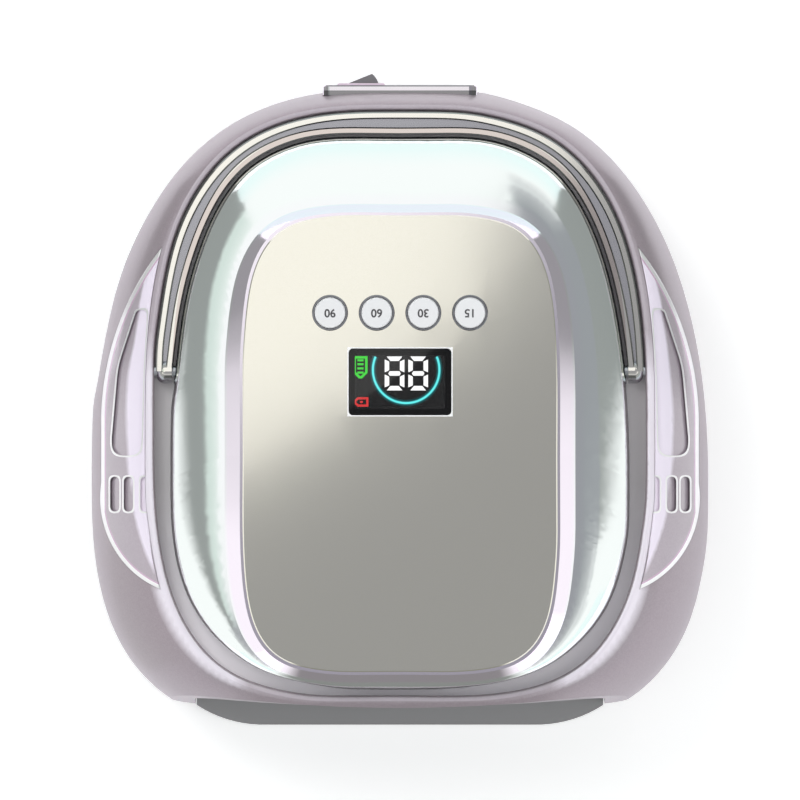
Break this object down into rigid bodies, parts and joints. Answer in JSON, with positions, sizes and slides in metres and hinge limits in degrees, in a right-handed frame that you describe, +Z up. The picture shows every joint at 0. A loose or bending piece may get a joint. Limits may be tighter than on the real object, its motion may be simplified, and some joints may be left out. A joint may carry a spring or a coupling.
{
  "type": "nail lamp",
  "caption": "Cordless ultraviolet nail lamp: domed shell with a hand cavity, mirror top, raised control panel with push buttons and display, folding handle and removable tray.",
  "frame": {"origin": "on the table under the middle of the lamp's bounding box", "axes": "+Z up, +Y to the rear with switch and charging socket, -Y out of the mouth of the hand cavity"},
  "size_m": [0.2224, 0.2348, 0.098],
  "materials": {
    "shell_pearl": "pearl lacquer, glossy",
    "mirror_plating": "vacuum plated, mirror",
    "champagne_panel": "champagne metallic, satin gloss",
    "handle_chrome": "plated, polished",
    "display_window": "smoked acrylic, polished",
    "display_housing": "moulded",
    "circuit_board": "solder mask",
    "switch_black": "moulded",
    "screw_steel": "zinc plated",
    "liner_silver": "vacuum plated, bright",
    "led_board": "white solder mask",
    "led_dome": "clear silicone dome",
    "sensor_dome": "dark infra-red filter",
    "cell_sleeve": "shrink sleeve",
    "cradle_plastic": "moulded",
    "frame_grey": "moulded, fine grain",
    "magnet_nickel": "nickel plated",
    "foot_rubber": "moulded",
    "tray_grey": "moulded, satin",
    "tray_mirror": "bright film",
    "rear_trim": "plated",
    "switch_bezel": "moulded, glossy",
    "rocker_grey": "moulded, glossy",
    "button_white": "moulded, glossy"
  },
  "bodies": {
    "lamp": {"upper_housing": "shell_pearl", "side_wing_left": "shell_pearl", "side_wing_right": "shell_pearl", "top_cover": "mirror_plating", "control_panel": "champagne_panel", "button_rings": "handle_chrome", "display_lens": "display_window", "display_module": "display_housing", "control_board": "circuit_board", "power_board": "circuit_board", "tact_switches": "switch_black", "board_screws": "screw_steel", "cradle_screws": "screw_steel", "housing_screws": "screw_steel", "inner_reflector": "liner_silver", "led_boards": "led_board", "led_lenses": "led_dome", "hand_sensors": "sensor_dome", "battery_cells": "cell_sleeve", "battery_cradle": "cradle_plastic", "bottom_frame": "frame_grey", "frame_magnets": "magnet_nickel", "rubber_feet": "foot_rubber", "rear_plate": "rear_trim", "switch_body": "switch_bezel", "dc_jack": "switch_black", "handle_pin_left": "screw_steel", "handle_pin_right": "screw_steel"},
    "handle": {"handle_bail": "handle_chrome"},
    "rocker_lever": {"rocker": "rocker_grey"},
    "tray": {"base_tray": "tray_grey", "tray_reflector": "tray_mirror", "tray_magnets": "magnet_nickel", "tray_feet": "foot_rubber"},
    "button_90_cap": {"button_90": "button_white"},
    "button_60_cap": {"button_60": "button_white"},
    "button_30_cap": {"button_30": "button_white"},
    "button_15_cap": {"button_15": "button_white"}
  },
  "joints": [
    {"name": "handle_hinge", "type": "hinge", "parent": "lamp", "child": "handle", "pos_m": [0, 0.0103, 0.075], "axis": [1, 0, 0], "range_deg": [0, 95]},
    {"name": "rocker_tilt", "type": "hinge", "parent": "lamp", "child": "rocker_lever", "pos_m": [-0.014, 0.1122, 0.045], "axis": [0, 0, 1], "range_deg": [-44, 0]},
    {"name": "tray_release", "type": "slide", "parent": "lamp", "child": "tray", "axis": [0, 0, -1], "range_m": [0, 0.03]},
    {"name": "button_90_press", "type": "slide", "parent": "lamp", "child": "button_90_cap", "axis": [0, 0, -1], "range_m": [0, 0.0005], "stiffness_N_per_m": 600, "springref_m": -0.0008},
    {"name": "button_60_press", "type": "slide", "parent": "lamp", "child": "button_60_cap", "axis": [0, 0, -1], "range_m": [0, 0.0005], "stiffness_N_per_m": 600, "springref_m": -0.0008},
    {"name": "button_30_press", "type": "slide", "parent": "lamp", "child": "button_30_cap", "axis": [0, 0, -1], "range_m": [0, 0.0005], "stiffness_N_per_m": 600, "springref_m": -0.0008},
    {"name": "button_15_press", "type": "slide", "parent": "lamp", "child": "button_15_cap", "axis": [0, 0, -1], "range_m": [0, 0.0005], "stiffness_N_per_m": 600, "springref_m": -0.0008}
  ]
}
